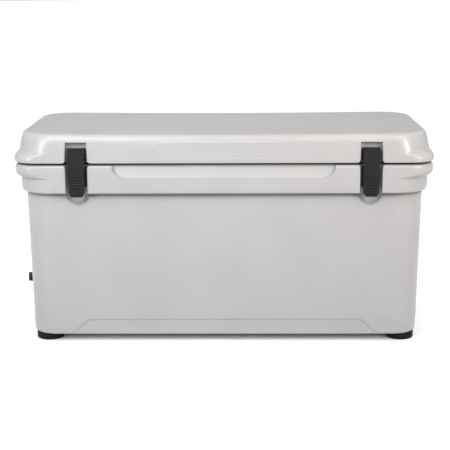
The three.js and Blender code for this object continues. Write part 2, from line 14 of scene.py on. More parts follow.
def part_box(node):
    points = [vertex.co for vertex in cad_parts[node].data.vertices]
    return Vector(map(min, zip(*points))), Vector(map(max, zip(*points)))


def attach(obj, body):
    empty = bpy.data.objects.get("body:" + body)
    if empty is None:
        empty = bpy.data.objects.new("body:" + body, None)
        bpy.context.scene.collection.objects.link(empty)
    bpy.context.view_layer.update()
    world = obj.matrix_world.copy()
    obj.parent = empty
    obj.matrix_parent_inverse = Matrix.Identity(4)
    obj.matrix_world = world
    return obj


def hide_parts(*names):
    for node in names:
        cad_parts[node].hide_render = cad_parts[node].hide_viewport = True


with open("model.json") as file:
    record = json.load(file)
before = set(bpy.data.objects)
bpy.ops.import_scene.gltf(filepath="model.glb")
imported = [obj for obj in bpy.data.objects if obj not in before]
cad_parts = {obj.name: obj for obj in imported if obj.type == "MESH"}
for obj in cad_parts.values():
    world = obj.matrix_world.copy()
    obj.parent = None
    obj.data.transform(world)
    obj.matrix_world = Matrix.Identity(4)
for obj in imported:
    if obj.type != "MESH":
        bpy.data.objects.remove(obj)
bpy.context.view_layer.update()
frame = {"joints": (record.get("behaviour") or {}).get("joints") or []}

MM = 0.001

# The tub's centre in the frame, in metres, and the joints that pieces turn on.
shell_low, shell_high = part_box("body_shell")
ORIGIN = Vector(((shell_low.x + shell_high.x) / 2, (shell_low.y + shell_high.y) / 2, 0))
JOINTS = {joint["name"]: joint for joint in frame["joints"]}


def joint_point(name):
    """A joint's place in this file's millimetres."""
    place = Vector(JOINTS[name]["pos_m"]) - ORIGIN
    return place / MM


# ---- sizes shared with the frame ----
FOOT_H = 18
RIM_Z = 419
BAND_X, BAND_Y, BAND_LOW_Z = 466, 225, 356
BEAD_X = 473.5
WALL_X, WALL_Y, WALL_LOW_Z, WALL_TOP_Z = 448, 197, 30, 344
WALL_DRAFT = 0.0245
GROOVE_DEPTH = 6
GAP = 0.35
PLATE_T, PLATE_HALF = 2.7, 21
BRACKET_SPAN, KEEPER_SPAN = (427, 457.5), (368, 415)
FOOT_X, FOOT_Y = 411, 152
FLOOR_Z = 91
CAVITY_X, CAVITY_Y, CAVITY_R, CAVITY_DRAFT = 404, 155, 40, 0.03
LID_X, LID_Y, LID_SHIFT_Y, LID_Z = 475, 219.5, -5.5, 424
TOP_Z, TOP_SAG = 490, 3.5
PAD_X, PAD_Y, PAD_Z = 394, 144, 404
GROOVE_Z = 428
SEAL_X, SEAL_Y, SEAL_W = 430, 182, 13
HINGE = joint_point("lid_hinge")
KNUCKLE_R, KNUCKLE_L, KNUCKLE_COUNT, KNUCKLE_GAP = 9.5, 84, 9, 1.2
SCALLOP_R = KNUCKLE_R + 0.7
LATCH_X = joint_point("latch_right_pivot").x
PIVOT = joint_point("latch_left_pivot")
LATCH_FLOOR_Y, SLOT_HALF, SLOT_TOP = -208, 22.5, 469
LEVER_FRONT, LEVER_HALF, LEVER_TOP, LEVER_TOE, LEVER_T = -230, 18.75, 459.5, 348, 7
DRAIN = joint_point("drain_spin")
DRAIN_FACE = 450.55
DRAIN_REACH = 486


# ---- mesh building ----
def add_piece(name, vertices, faces, material, body, stands_for, slot, angle=40):
    """Makes a mesh piece from millimetre points, hangs it on its body, and hides the CAD nodes it stands for.
    """
    mesh = bpy.data.meshes.new(name)
    points = [((x * MM) + ORIGIN.x, (y * MM) + ORIGIN.y, z * MM) for x, y, z in vertices]
    mesh.from_pydata(points, [], faces)
    mesh.validate()
    mesh.update()
    piece = bpy.data.objects.new(name, mesh)
    bpy.context.scene.collection.objects.link(piece)
    piece.data.materials.append(material)
    shade(piece, angle)
    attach(piece, body)
    if stands_for:
        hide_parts(*stands_for)
    return piece


def shade(piece, angle):
    """Smooth shading with creases sharper than the angle kept."""
    mesh = piece.data
    mesh.shade_smooth()
    mesh.set_sharp_from_angle(angle=math.radians(angle))


def skin(rings, closed=False):
    """Vertices and faces of a skin over rings of equal length, capped unless it closes on itself."""
    count = len(rings[0])
    vertices = [tuple(point) for ring in rings for point in ring]
    faces = []
    levels = len(rings) if closed else len(rings) - 1
    for level in range(levels):
        low = level * count
        high = ((level + 1) % len(rings)) * count
        for i in range(count):
            j = (i + 1) % count
            faces.append((low + i, low + j, high + j, high + i))
    if not closed:
        faces.append(tuple(reversed(range(count))))
        faces.append(tuple(range((len(rings) - 1) * count, len(rings) * count)))
    return vertices, faces


def joined(*parts):
    """Several (vertices, faces) lists as one."""
    vertices, faces = [], []
    for part_vertices, part_faces in parts:
        start = len(vertices)
        vertices += part_vertices
        faces += [tuple(start + i for i in face) for face in part_faces]
    return vertices, faces


def spread(*spans):
    """Positions from 0 outwards; each span is its far end and its step."""
    places = [0.0]
    for end, step in spans:
        steps = max(1, round((end - places[-1]) / step))
        places += list(np.linspace(places[-1], end, steps + 1)[1:])
    return np.array(places)


def mirrored(places):
    return np.concatenate([-places[:0:-1], places])


# Grid lines along the long sides, close together where an edge or a corner needs them.
LONG_LINES = mirrored(spread(
    (41.4, 10.3), (42.6, 1.2), (125.4, 13.8), (126.6, 1.2), (138, 3.8), (150, 1.5),
    (205, 14), (209.4, 2.2), (210.6, 1.2), (250, 2.8), (293.4, 11), (294.6, 1.2),
    (302, 3.7), (312, 1.1), (346, 2.2), (356, 1.1), (378, 2.2), (380, 1),
))
SHORT_LINES = mirrored(spread((74, 10), (82, 4), (98, 1.6), (124, 8)))
ARC_STEPS = 14


def side_places(lines, half, radius):
    """Where a ring's straight side has its points."""
    straight = half - radius
    reach = lines[-1]
    if straight < reach + 0.2:
        return lines * (straight - 0.5) / reach
    extra = np.array([0.5, 1.0]) * (straight - reach) * 0.9 + reach
    return np.concatenate([-extra[::-1], lines, extra])


def ring_at(z, half_x, half_y, radius, shift_y=0.0):
    """A rounded rectangle, counter-clockwise from above, starting at the right-hand end."""
    ends = side_places(SHORT_LINES, half_y, radius)
    longs = side_places(LONG_LINES, half_x, radius)
    if len(ends) == len(SHORT_LINES):
        ends = np.concatenate([[ends[0]] * 2, ends, [ends[-1]] * 2])
        ends[:3] = ends[2] - np.array([0.4, 0.2, 0.0])
        ends[-3:] = ends[-3] + np.array([0.0, 0.2, 0.4])
    if len(longs) == len(LONG_LINES):
        longs = np.concatenate([[longs[0]] * 2, longs, [longs[-1]] * 2])
        longs[:3] = longs[2] - np.array([0.4, 0.2, 0.0])
        longs[-3:] = longs[-3] + np.array([0.0, 0.2, 0.4])
    points = []

    def arc(centre_x, centre_y, start):
        for i in range(ARC_STEPS + 1):
            angle = start + (i / ARC_STEPS) * math.pi / 2
            points.append((centre_x + radius * math.cos(angle), centre_y + radius * math.sin(angle)))

    inner_x, inner_y = half_x - radius, half_y - radius
    points += [(half_x, y) for y in ends]
    arc(inner_x, inner_y, 0)
    points += [(x, half_y) for x in longs[::-1]]
    arc(-inner_x, inner_y, math.pi / 2)
    points += [(-half_x, y) for y in ends[::-1]]
    arc(-inner_x, -inner_y, math.pi)
    points += [(x, -half_y) for x in longs]
    arc(inner_x, -inner_y, 1.5 * math.pi)
    flat = np.array(points)
    return np.column_stack([flat[:, 0], flat[:, 1] + shift_y, np.full(len(flat), float(z))])


def soft_profile(keys, steps=5):
    """Key sections (z, half x, half y, radius, softness, rows) with their corners rounded. Softness
    is how far from the key the curve starts; rows is how many plain rows come before the next key."""
    keys = [np.array(key, float) for key in keys]
    sections = []
    starts, ends = [], []
    for i, key in enumerate(keys):
        before = keys[i - 1] if i else key
        after = keys[i + 1] if i + 1 < len(keys) else key

        def toward(other):
            gap = np.linalg.norm(other[:3] - key[:3])
            share = min(0.46, key[4] / gap) if gap > 0 else 0
            return key[:4] + (other[:4] - key[:4]) * share

        starts.append(toward(before))
        ends.append(toward(after))
    for i, key in enumerate(keys):
        if key[4] > 0 and 0 < i < len(keys) - 1:
            for step in range(steps + 1):
                t = step / steps
                point = starts[i] * (1 - t) ** 2 + key[:4] * 2 * t * (1 - t) + ends[i] * t * t
                sections.append(point)
        else:
            sections.append(key[:4])
        rows = int(key[5]) if i + 1 < len(keys) else 0
        for row in range(1, rows + 1):
            t = row / (rows + 1)
            sections.append(ends[i] * (1 - t) + starts[i + 1] * t if i + 1 < len(keys) else key[:4])
    return sections


def smooth_max(a, b, blend):
    h = np.clip(0.5 + 0.5 * (a - b) / blend, 0, 1)
    return b * (1 - h) + a * h + blend * h * (1 - h)


def rise(distance, slope=7.0, soft=1.6):
    """A wall that climbs outside a boundary, with a soft foot."""
    return slope * 0.5 * (distance + np.sqrt(distance ** 2 + soft ** 2))


def rounded_box_distance(x, z, half_x, half_z, radius):
    qx = np.abs(x) - half_x + radius
    qz = np.abs(z) - half_z + radius
    outside = np.hypot(np.maximum(qx, 0), np.maximum(qz, 0))
    return outside + np.minimum(np.maximum(qx, qz), 0) - radius


def wall_x(z):
    return WALL_X + (z - WALL_LOW_Z) * WALL_DRAFT


def wall_y(z):
    return WALL_Y + (z - WALL_LOW_Z) * WALL_DRAFT


# ---- hollows in the outer faces ----
def press_front(points, plane, distance, blend=2.2, slope=7.0, soft=1.6):
    """Pushes front points back to a plane inside a boundary."""
    front = points[:, 1] < -150
    limit = plane - rise(distance, slope, soft)
    pressed = smooth_max(points[:, 1], limit, blend)
    deep = points[:, 1] > limit + blend
    points[:, 1] = np.where(front & ~deep, pressed, points[:, 1])


def latch_slot(points, edge_z, inward):
    """The slot behind a latch. edge_z is the lip next to the seam, and inward points away from it."""
    x, z = points[:, 0], points[:, 2]
    from_lip = np.maximum((z - edge_z) * inward, 0)
    flare = 4.0 * np.exp(-from_lip / 3.5)
    lip = 3.0
    near = np.clip(lip - from_lip, 0, lip)
    plane = LATCH_FLOOR_Y + lip - np.sqrt(lip ** 2 - near ** 2)
    for side in (-1, 1):
        distance = np.abs(x - side * LATCH_X) - SLOT_HALF - flare
        if inward > 0:
            distance = np.maximum(distance, z - SLOT_TOP)
        press_front(points, plane, distance)


def finger_hollow(points):
    """The long hollow under the lid's front edge. Its floor slopes out towards its lower lip."""
    x, z = points[:, 0], points[:, 2]
    top, low = 500, 389
    distance = rounded_box_distance(x, z - (top + low) / 2, 248, (top - low) / 2, 30)
    from_rim = np.clip(3.0 - (RIM_Z - z), 0, 3.0)
    rounding = 3.0 - np.sqrt(9.0 - from_rim ** 2)
    plane = -BAND_Y + 3.2 + np.clip(z - low, 0, 30) * 0.34 + rounding
    press_front(points, plane, distance, blend=0.8, slope=5.0, soft=0.9)


def kick_panel(points, side):
    """The shallow panel along the foot of the front or back wall."""
    x, z = points[:, 0], points[:, 2]
    slant = ((np.abs(x) - 314) * 34 + (z - 54) * 38) / 51
    distance = smooth_max(z - 54, slant, 2.0)
    flipped = points.copy()
    flipped[:, 1] = points[:, 1] * -side
    plane = -194.6 + (54 - z) * 0.05
    limit = plane - rise(distance, 3.5, 0.7)
    pressed = smooth_max(flipped[:, 1], limit, 0.6)
    wall = (flipped[:, 1] < -150) & (z < 90) & (z > FOOT_H + 1.5)
    points[:, 1] = np.where(wall, pressed * -side, points[:, 1])


def scoops(points):
    """The round-bottomed scoops below the latches."""
    x, z = points[:, 0], points[:, 2]
    for side in (-1, 1):
        across = x - side * LATCH_X
        low = np.hypot(across, np.minimum(z - 351, 0)) - 19
        distance = low + 3 * np.maximum(z - 352, 0)
        press_front(points, -wall_y(351) + 12.0, distance, blend=2.0, slope=1.6, soft=2.5)


def end_grips(points):
    """The finger hollows under the band at both ends, deepest at their roofs."""
    x, y, z = points[:, 0], points[:, 1], points[:, 2]
    share = np.clip((z - 288) / (332 - 288), 0, 1)
    depth = 24 * share
    plane = -(wall_x(346) - depth)
    ends = np.abs(y) - 94
    distance = np.maximum(smooth_max(ends, 290 - z, 3.0), (z - 345.2) * 1.6)
    limit = plane - rise(distance, 3.0, 2.0)
    outer = -np.abs(x)
    pressed = smooth_max(outer, limit, 2.2)
    wall = (np.abs(x) > 425) & (z > 270) & (z < 352)
    points[:, 0] = np.where(wall, -pressed * np.sign(x), x)


def knuckle_spans(wanted):
    for i in range(KNUCKLE_COUNT):
        start = (i - KNUCKLE_COUNT / 2) * KNUCKLE_L
        if i % 2 == wanted:
            yield start, start + KNUCKLE_L


def in_spans(x, wanted):
    inside = np.zeros(len(x), bool)
    for start, end in knuckle_spans(wanted):
        inside |= (x > start - 0.3) & (x < end + 0.3)
    return inside


def rim_notches(points):
    """Lowers the rim where the lid's knuckles turn."""
    y = points[:, 1]
    ahead = np.clip(HINGE.y - y, 0, SCALLOP_R)
    floor = HINGE.z - np.sqrt(SCALLOP_R ** 2 - ahead ** 2)
    inside = in_spans(points[:, 0], 1) & (y > HINGE.y - SCALLOP_R)
    points[:, 2] = np.where(inside, np.minimum(points[:, 2], floor), points[:, 2])


def lid_notches(points):
    """Lifts the lid's lower back edge clear of the tub's knuckles."""
    y = points[:, 1]
    away = np.clip(np.abs(y - HINGE.y), 0, SCALLOP_R)
    roof = HINGE.z + np.sqrt(SCALLOP_R ** 2 - away ** 2)
    inside = in_spans(points[:, 0], 0) & (y > HINGE.y - SCALLOP_R) & (points[:, 2] < HINGE.z + SCALLOP_R + 1)
    points[:, 2] = np.where(inside, np.maximum(points[:, 2], roof), points[:, 2])


def raised_outline(points, centre_x, centre_z, half_x, half_z, radius, height, side=-1):
    """A blank moulded plate's raised outline on the front face."""
    distance = rounded_box_distance(points[:, 0] - centre_x, points[:, 2] - centre_z, half_x, half_z, radius)
    bump = height * np.exp(-(distance / 1.5) ** 4)
    face = points[:, 1] * side > 150
    points[:, 1] += np.where(face, bump * side, 0)


# ---- tub ----
def cavity_key(z, inset, radius, soft, rows=0):
    draft = (RIM_Z - z) * CAVITY_DRAFT
    return (z, CAVITY_X - draft - inset, CAVITY_Y - draft - inset, radius, soft, rows)


def tub_rings():
    keys = [
        (FOOT_H, WALL_X - 60, WALL_Y - 60, 20, 0, 1),
        (FOOT_H, WALL_X - 1.5, WALL_Y - 1.5, 54, 7, 9),
        (52, wall_x(52), wall_y(52), 57, 0, 4),
        (58, wall_x(58), wall_y(58), 57, 0, 12),
        (284, wall_x(284), wall_y(284), 69, 0, 6),
        (296, wall_x(296), wall_y(296), 69.5, 0, 10),
        (328, wall_x(328), wall_y(328), 71.5, 0, 8),
        (WALL_TOP_Z, wall_x(WALL_TOP_Z), wall_y(WALL_TOP_Z), 72, 1.5, 1),
        (346.2, wall_x(346.2), wall_y(346.2) - 1, 72, 0, 1),
        (350, wall_x(350), wall_y(350) - GROOVE_DEPTH, 72, 1.2, 1),
        (355.6, wall_x(355), wall_y(355) - GROOVE_DEPTH, 73, 1.5, 1),
        (355.2, BAND_X - 1.2, BAND_Y - 1.0, 83, 3.0, 2),
        (BAND_LOW_Z + 12, BAND_X, BAND_Y, 85, 4, 5),
        (385, BAND_X + 0.4, BAND_Y, 85, 2, 2),
        (388, BAND_X + 0.5, BAND_Y, 84, 2, 1),
        (391.5, BEAD_X - 2.5, BAND_Y, 66, 4, 4),
        (400, BEAD_X, BAND_Y, 52, 4, 4),
        (RIM_Z - 0.01, BEAD_X, BAND_Y, 52, 9, 1),
        (RIM_Z, BEAD_X - 15, BAND_Y - 15, 44, 0, 4),
        (RIM_Z, BEAD_X - 24, BAND_Y - 23, 42, 0, 3),
        cavity_key(RIM_Z, 0, CAVITY_R, 3.5, 8),
        cavity_key(130, 0, CAVITY_R, 0, 3),
        cavity_key(FLOOR_Z + 20, 0, CAVITY_R, 0, 1),
        cavity_key(FLOOR_Z, 0, CAVITY_R, 19, 2),
        (FLOOR_Z, CAVITY_X - 60, CAVITY_Y - 55, 20, 0, 0),
    ]
    return [ring_at(*section) for section in soft_profile(keys, 8)]


def drain_flat(points):
    """Clears the cavity's lower fillet round the drain's nut."""
    x, y, z = points[:, 0], points[:, 1], points[:, 2]
    near = np.hypot(y - DRAIN.y, z - DRAIN.z)
    wall = -(CAVITY_X - (RIM_Z - DRAIN.z) * CAVITY_DRAFT) - 0.2
    inside = (x < -360) & (x > -CAVITY_X - 2) & (near < 21.5) & (z > FLOOR_Z + 0.5)
    points[:, 0] = np.where(inside, np.minimum(x, wall), x)


def make_tub(material):
    rings = tub_rings()
    for ring in rings:
        outside = ring[:, 0].max() > CAVITY_X + 30
        if outside:
            for side in (-1, 1):
                kick_panel(ring, side)
            scoops(ring)
            if ring[0, 2] > 330:
                latch_slot(ring, RIM_Z, -1)
                finger_hollow(ring)
            end_grips(ring)
            raised_outline(ring, 376, 41, 25, 15, 5, 0.5)
        rim_notches(ring)
        drain_flat(ring)
    vertices, faces = skin(rings)
    return add_piece("tub_shell", vertices, faces, material, "tub", ["body_shell"], "shell_plastic", 35)


# ---- lid ----
def lid_rings():
    keys = [
        (PAD_Z, PAD_X - 60, PAD_Y - 60, 20, 0, 1),
        (PAD_Z, PAD_X, PAD_Y, 35, 5, 4),
        (LID_Z, PAD_X + 0.5, PAD_Y + 0.5, 35, 2.5, 1),
        (LID_Z, SEAL_X - SEAL_W - 1, SEAL_Y - SEAL_W - 1, 39, 1, 0),
        (GROOVE_Z, SEAL_X - SEAL_W, SEAL_Y - SEAL_W, 40, 0.8, 1),
        (GROOVE_Z, SEAL_X, SEAL_Y, 50, 0.8, 0),
        (LID_Z, SEAL_X + 1, SEAL_Y + 1, 50, 1, 1),
    ]
    under = [ring_at(*section) for section in soft_profile(keys, 4)]
    keys = [
        (LID_Z, SEAL_X + 3, LID_Y - 19, 46, 0, 8),
        (LID_Z, LID_X, LID_Y, 51, 4.5, 4),
        (434, LID_X, LID_Y - 0.6, 51, 3, 2),
        (441, LID_X - 2, LID_Y - 1.0, 60, 4, 2),
        (446, LID_X - 7.0, LID_Y - 1.5, 77, 5, 8),
        (466, LID_X - 10.4, LID_Y - 3.8, 79.5, 0, 4),
        (472, LID_X - 11.8, LID_Y - 4.8, 80, 0, 2),
        (TOP_Z - 0.6, LID_X - 16.2, LID_Y - 10, 79, 12.5, 1),
        (TOP_Z, LID_X - 40, LID_Y - 34, 58, 6, 2),
        (TOP_Z, LID_X - 110, LID_Y - 90, 40, 0, 3),
        (TOP_Z, 200, 60, 30, 0, 0),
    ]
    over = [ring_at(*section, shift_y=LID_SHIFT_Y) for section in soft_profile(keys, 8)]
    return under + over


def dish_top(points):
    """The slight sag that a moulded lid takes between its ends."""
    share = np.clip((points[:, 2] - 474) / (TOP_Z - 474), 0, 1)
    points[:, 2] -= TOP_SAG * share * (1 - (points[:, 0] / LID_X) ** 2)


def make_lid(material):
    rings = lid_rings()
    for ring in rings:
        latch_slot(ring, LID_Z, 1)
        lid_notches(ring)
        raised_outline(ring, -2, 451, 148, 18, 9, 0.8)
        dish_top(ring)
    vertices, faces = skin(rings)
    return add_piece("lid_shell_skin", vertices, faces, material, "lid", ["lid_shell"], "shell_plastic", 35)


def make_seal(material):
    """The soft ring in the lid's groove, with a hollow-bulb section."""
    middle_x, middle_y = SEAL_X - SEAL_W / 2, SEAL_Y - SEAL_W / 2
    half, low, high = SEAL_W / 2 - 0.5, RIM_Z + 0.4, GROOVE_Z - 0.3
    section = []
    for i in range(20):
        angle = -math.pi * i / 19
        bulge = abs(math.sin(angle)) ** 0.6
        section.append((half * math.cos(angle), high - 1 - (high - 1 - low) * bulge))
    section += [(-half * 0.8, high), (half * 0.8, high)]
    rings = []
    for out, z in section:
        rings.append(ring_at(z, middle_x + out, middle_y + out, 45 + out))
    vertices, faces = skin(rings[::-1], closed=True)
    return add_piece("lid_gasket", vertices, faces, material, "lid", ["lid_seal"], "seal_rubber", 50)


# ---- turned pieces ----
def turned(profile, axis, centre, sides=48):
    """A turned solid. profile holds (radius, place along the axis); the first and last are on the axis
    or the profile closes on itself."""
    closed = profile[0][0] > 0
    rings = []
    for radius, along in profile:
        radius = max(radius, 0.01)
        ring = []
        for i in range(sides):
            angle = 2 * math.pi * i / sides
            across = (radius * math.cos(angle), radius * math.sin(angle))
            if axis == "x":
                ring.append((centre[0] + along, centre[1] + across[0], centre[2] + across[1]))
            elif axis == "y":
                ring.append((centre[0] + across[1], centre[1] + along, centre[2] + across[0]))
            else:
                ring.append((centre[0] + across[0], centre[1] + across[1], centre[2] + along))
        rings.append(ring)
    return skin(rings, closed)


def rounded_rod(radius, start, end, edge):
    """A profile for a rod with rounded ends."""
    profile = [(0, start)]
    for i in range(5):
        angle = (i / 4) * math.pi / 2
        profile.append((radius - edge + edge * math.sin(angle), start + edge - edge * math.cos(angle)))
    for i in range(5):
        angle = (i / 4) * math.pi / 2
        profile.append((radius - edge + edge * math.cos(angle), end - edge + edge * math.sin(angle)))
    return profile + [(0, end)]


def slab(x0, x1, y0, y1, z0, z1, edge=0.8):
    """A box with rounded edges, as rings along Y."""
    rings = []
    steps = 4
    for end in (0, 1):
        for i in range(steps + 1):
            angle = (i / steps) * math.pi / 2
            if end == 0:
                inset, y = edge * (1 - math.sin(angle)), y0 + edge * (1 - math.cos(angle))
            else:
                inset, y = edge * (1 - math.cos(angle)), y1 - edge * (1 - math.sin(angle))
            rings.append(slab_outline(x0 + inset, x1 - inset, y, z0 + inset, z1 - inset, edge))
    return skin(rings)


def slab_outline(x0, x1, y, z0, z1, radius, steps=4):
    points = []
    corners = ((x1, z0, -90), (x1, z1, 0), (x0, z1, 90), (x0, z0, 180))
    for (x, z, start) in corners:
        centre_x = x - radius if x == x1 else x + radius
        centre_z = z - radius if z == z1 else z + radius
        for i in range(steps + 1):
            angle = math.radians(start + 90 * i / steps)
            points.append((centre_x + radius * math.cos(angle), y, centre_z + radius * math.sin(angle)))
    return points[::-1]


def tube_profile(bore, radius, start, end, edge=0.8):
    """A closed profile for a tube with rounded outer edges."""
    profile = [(bore, start)]
    for i in range(5):
        angle = (i / 4) * math.pi / 2
        profile.append((radius - edge + edge * math.sin(angle), start + edge - edge * math.cos(angle)))
    for i in range(5):
        angle = (i / 4) * math.pi / 2
        profile.append((radius - edge + edge * math.cos(angle), end - edge + edge * math.sin(angle)))
    return profile + [(bore, end)]


def lobed(shape, centre, axis, reach, count, depth):
    """Grip lobes pressed into a turned shape: points further out than reach follow a wave."""
    vertices, faces = shape
    first, second = [i for i in range(3) if i != "xyz".index(axis)]
    moved = []
    for vertex in vertices:
        point = list(vertex)
        across = point[first] - centre[first]
        up = point[second] - centre[second]
        radius = math.hypot(across, up)
        if radius > reach:
            wave = 0.5 - 0.5 * math.cos(count * math.atan2(up, across))
            scale = 1 - depth * wave ** 3 / radius
            point[first] = centre[first] + across * scale
            point[second] = centre[second] + up * scale
        moved.append(tuple(point))
    return moved, faces


# ---- hinge ----
def knuckle_row(wanted):
    rows = []
    for start, end in knuckle_spans(wanted):
        profile = tube_profile(4.45, KNUCKLE_R, start + KNUCKLE_GAP / 2, end - KNUCKLE_GAP / 2, 1.2)
        rows.append(turned(profile, "x", (0, HINGE.y, HINGE.z), 56))
    return joined(*rows)


def knuckle_webs(wanted, y0, y1, z0, z1):
    """The thick roots that join knuckles to their moulding."""
    roots = []
    for start, end in knuckle_spans(wanted):
        roots.append(slab(start + KNUCKLE_GAP / 2 + 0.4, end - KNUCKLE_GAP / 2 - 0.4, y0, y1, z0, z1, 1.0))
    return joined(*roots)


def make_hinge(shell, steel, nylon):
    half = KNUCKLE_COUNT * KNUCKLE_L / 2
    tub_roots = knuckle_webs(0, HINGE.y - 6, HINGE.y - 4.6, RIM_Z - 6, RIM_Z + 1.5)
    vertices, faces = joined(knuckle_row(0), tub_roots)
    add_piece("tub_knuckles", vertices, faces, shell, "tub", [], "shell_plastic")
    lid_roots = knuckle_webs(1, HINGE.y - 14, HINGE.y - 4.6, HINGE.z + 0.2, HINGE.z + 9)
    vertices, faces = joined(knuckle_row(1), lid_roots)
    add_piece("lid_knuckles", vertices, faces, shell, "lid", [], "shell_plastic")
    vertices, faces = turned(rounded_rod(4, -half + 7.2, half - 7.2, 0.6), "x", (0, HINGE.y, HINGE.z), 32)
    add_piece("hinge_pin_rod", vertices, faces, steel, "tub", ["hinge_rod"], "steel")
    for name, side in (("left", -1), ("right", 1)):
        stub = [(0, half - 6.2), (3.7, half - 6.2), (4, half - 5.9), (4, half - 0.2)]
        head = [(6.6, half - 0.2), (7.2, half + 0.1), (7.3, half + 0.7), (6.6, half + 1.5), (4, half + 1.9)]
        dimple = [(2.2, half + 1.9), (1.8, half + 1.3), (0, half + 1.2)]
        vertices, faces = turned(stub + head + dimple, "x", (0, HINGE.y, HINGE.z), 32)
        vertices = [(x * side, y, z) for x, y, z in vertices]
        cad_name = "hinge_cap_" + name
        add_piece(cad_name + "_moulded", vertices, faces, nylon, "tub", [cad_name], "black_nylon")


# ---- screws ----
def cross_screw(x, face_y, z, head, shank, length, depth=1.3):
    """A pan-head screw with a cross recess, pointing back from face_y."""
    sides = 64
    rings = []
    for share in (0.02, 0.12, 0.2, 0.28, 0.36, 0.44, 0.52, 0.6, 0.7, 0.8, 0.9, 0.97, 1.0):
        ring = []
        for i in range(sides):
            angle = 2 * math.pi * i / sides
            across, up = share * head * math.sin(angle), share * head * math.cos(angle)
            dome = -2.0 * math.sqrt(max(0, 1 - (share * 0.98) ** 2))
            arm = min(abs(across), abs(up)) / head
            recess = depth * max(0, 1 - (arm / 0.13) ** 4) * max(0, 1 - (share / 0.62) ** 6)
            ring.append((x + across, face_y + dome + recess, z + up))
        rings.append(ring)
    for radius, along in ((head, 0.0), (shank, 0.05), (shank, length - 2), (0.3, length)):
        rings.append([
            (x + radius * math.sin(2 * math.pi * i / sides), face_y + along,
             z + radius * math.cos(2 * math.pi * i / sides)) for i in range(sides)
        ])
    return skin(rings)


# ---- latches ----
def lever_half(z):
    """Half the lever's width at a height: a chamfered toe, waisted sides and round shoulders."""
    up = z - LEVER_TOE
    toe = LEVER_HALF - 7 + up * 0.75
    side = LEVER_HALF - 0.9 + 0.9 * np.clip((up - 8) / 50, 0, 1)
    below = np.clip(LEVER_TOP - z, 0, 5)
    shoulder = LEVER_HALF - 5 + np.sqrt(25 - (5 - below) ** 2)
    return np.minimum(np.minimum(toe, side), shoulder)


def lever_front(x, z):
    """The lever's moulded face: a raised frame, a sunk panel, and finger ribs in a deeper pocket."""
    edge = np.minimum(lever_half(z) - np.abs(x), np.minimum(z - LEVER_TOE, LEVER_TOP - z))
    edge = np.maximum(edge, 0)
    rounded = 1.5 * (1 - np.sqrt(1 - (1 - np.clip(edge / 1.5, 0, 1)) ** 2))
    panel = 0.9 * np.clip((edge - 2.6) / 0.9, 0, 1)
    first, last = LEVER_TOE + 5.5, LEVER_TOE + 45.5
    beside = np.clip((12.6 - np.abs(x)) / 0.8, 0, 1) * np.clip((z - first) / 0.8, 0, 1)
    beside *= np.clip((last - z) / 0.8, 0, 1)
    rib = np.clip(1.6 * np.cos(2 * math.pi * (z - LEVER_TOE - 9) / 6.5) + 0.7, 0, 1)
    ribbed = 2.9 - 2.6 * rib
    return LEVER_FRONT + rounded + panel * (1 - beside) + ribbed * beside


def sheet_solid(rows, back_y, back_edge=0.6):
    """A closed plate with a shaped front. rows are lists of front points, all of the same length."""
    count, width = len(rows), len(rows[0])
    vertices = [tuple(point) for row in rows for point in row]
    for r, row in enumerate(rows):
        for c, (x, _, z) in enumerate(row):
            border = r in (0, count - 1) or c in (0, width - 1)
            vertices.append((x, back_y - (back_edge if border else 0), z))
    faces = []
    offset = count * width
    for r in range(count - 1):
        for c in range(width - 1):
            i = r * width + c
            faces.append((i, i + 1, i + width + 1, i + width))
            faces.append((offset + i, offset + i + width, offset + i + width + 1, offset + i + 1))
    border = [c for c in range(width)]
    border += [r * width + width - 1 for r in range(1, count)]
    border += [(count - 1) * width + c for c in range(width - 2, -1, -1)]
    border += [r * width for r in range(count - 2, 0, -1)]
    for here, after in zip(border, border[1:] + border[:1]):
        faces.append((here, here + offset, after + offset, after))
    return vertices, faces


def lever_rows(z0, z1, step, front):
    rows = []
    shares = np.linspace(-1, 1, 65)
    for z in np.linspace(z0, z1, int(round((z1 - z0) / step)) + 1):
        x = shares * lever_half(z)
        rows.append([(float(a), float(y), float(z)) for a, y in zip(x, front(x, z))])
    return rows


def lever_shape():
    back = LEVER_FRONT + LEVER_T
    sheet = LEVER_FRONT + 3.4
    trim = PIVOT.z - 5.9
    parts = [sheet_solid(lever_rows(LEVER_TOE, LEVER_TOP, 0.5, lever_front), sheet)]

    def flat_front(x, z):
        return np.full(len(x), sheet - 0.8)

    parts.append(sheet_solid(lever_rows(LEVER_TOE, trim, 2.0, flat_front), back))
    for side in (-1, 1):
        inner, outer = sorted((side * 15.0, side * (LEVER_HALF - 0.2)))
        parts.append(slab(inner, outer, sheet - 0.4, back, trim - 3, PIVOT.z + 1, 0.5))
        parts.append(turned(tube_profile(2.95, 8, inner, outer, 0.7), "x", (0, PIVOT.y, PIVOT.z), 40))
    parts.append(slab(-10, 10, back - 0.6, -217.3, 386, 392, 0.9))
    return joined(*parts)


def arm_shape(x0, x1, y_root, edge=0.5):
    """A bracket's ear, rounded round the pin."""
    rings = []
    for x, inset in ((x0, edge), (x0 + edge, 0), (x1 - edge, 0), (x1, edge)):
        ring = []
        for i in range(17):
            angle = math.pi / 2 + math.pi * i / 16
            ring.append((x, PIVOT.y + (5 - inset) * math.cos(angle), PIVOT.z + (5 - inset) * math.sin(angle)))
        ring += [(x, y_root - 4, PIVOT.z - 5 + inset), (x, y_root - 1.2, PIVOT.z - 6.5 + inset)]
        ring += [(x, y_root, PIVOT.z - 9 + inset), (x, y_root, PIVOT.z + 5 - inset)]
        rings.append(ring)
    return skin(rings)


def shifted(shape, across):
    vertices, faces = shape
    return [(x + across, y, z) for x, y, z in vertices], faces


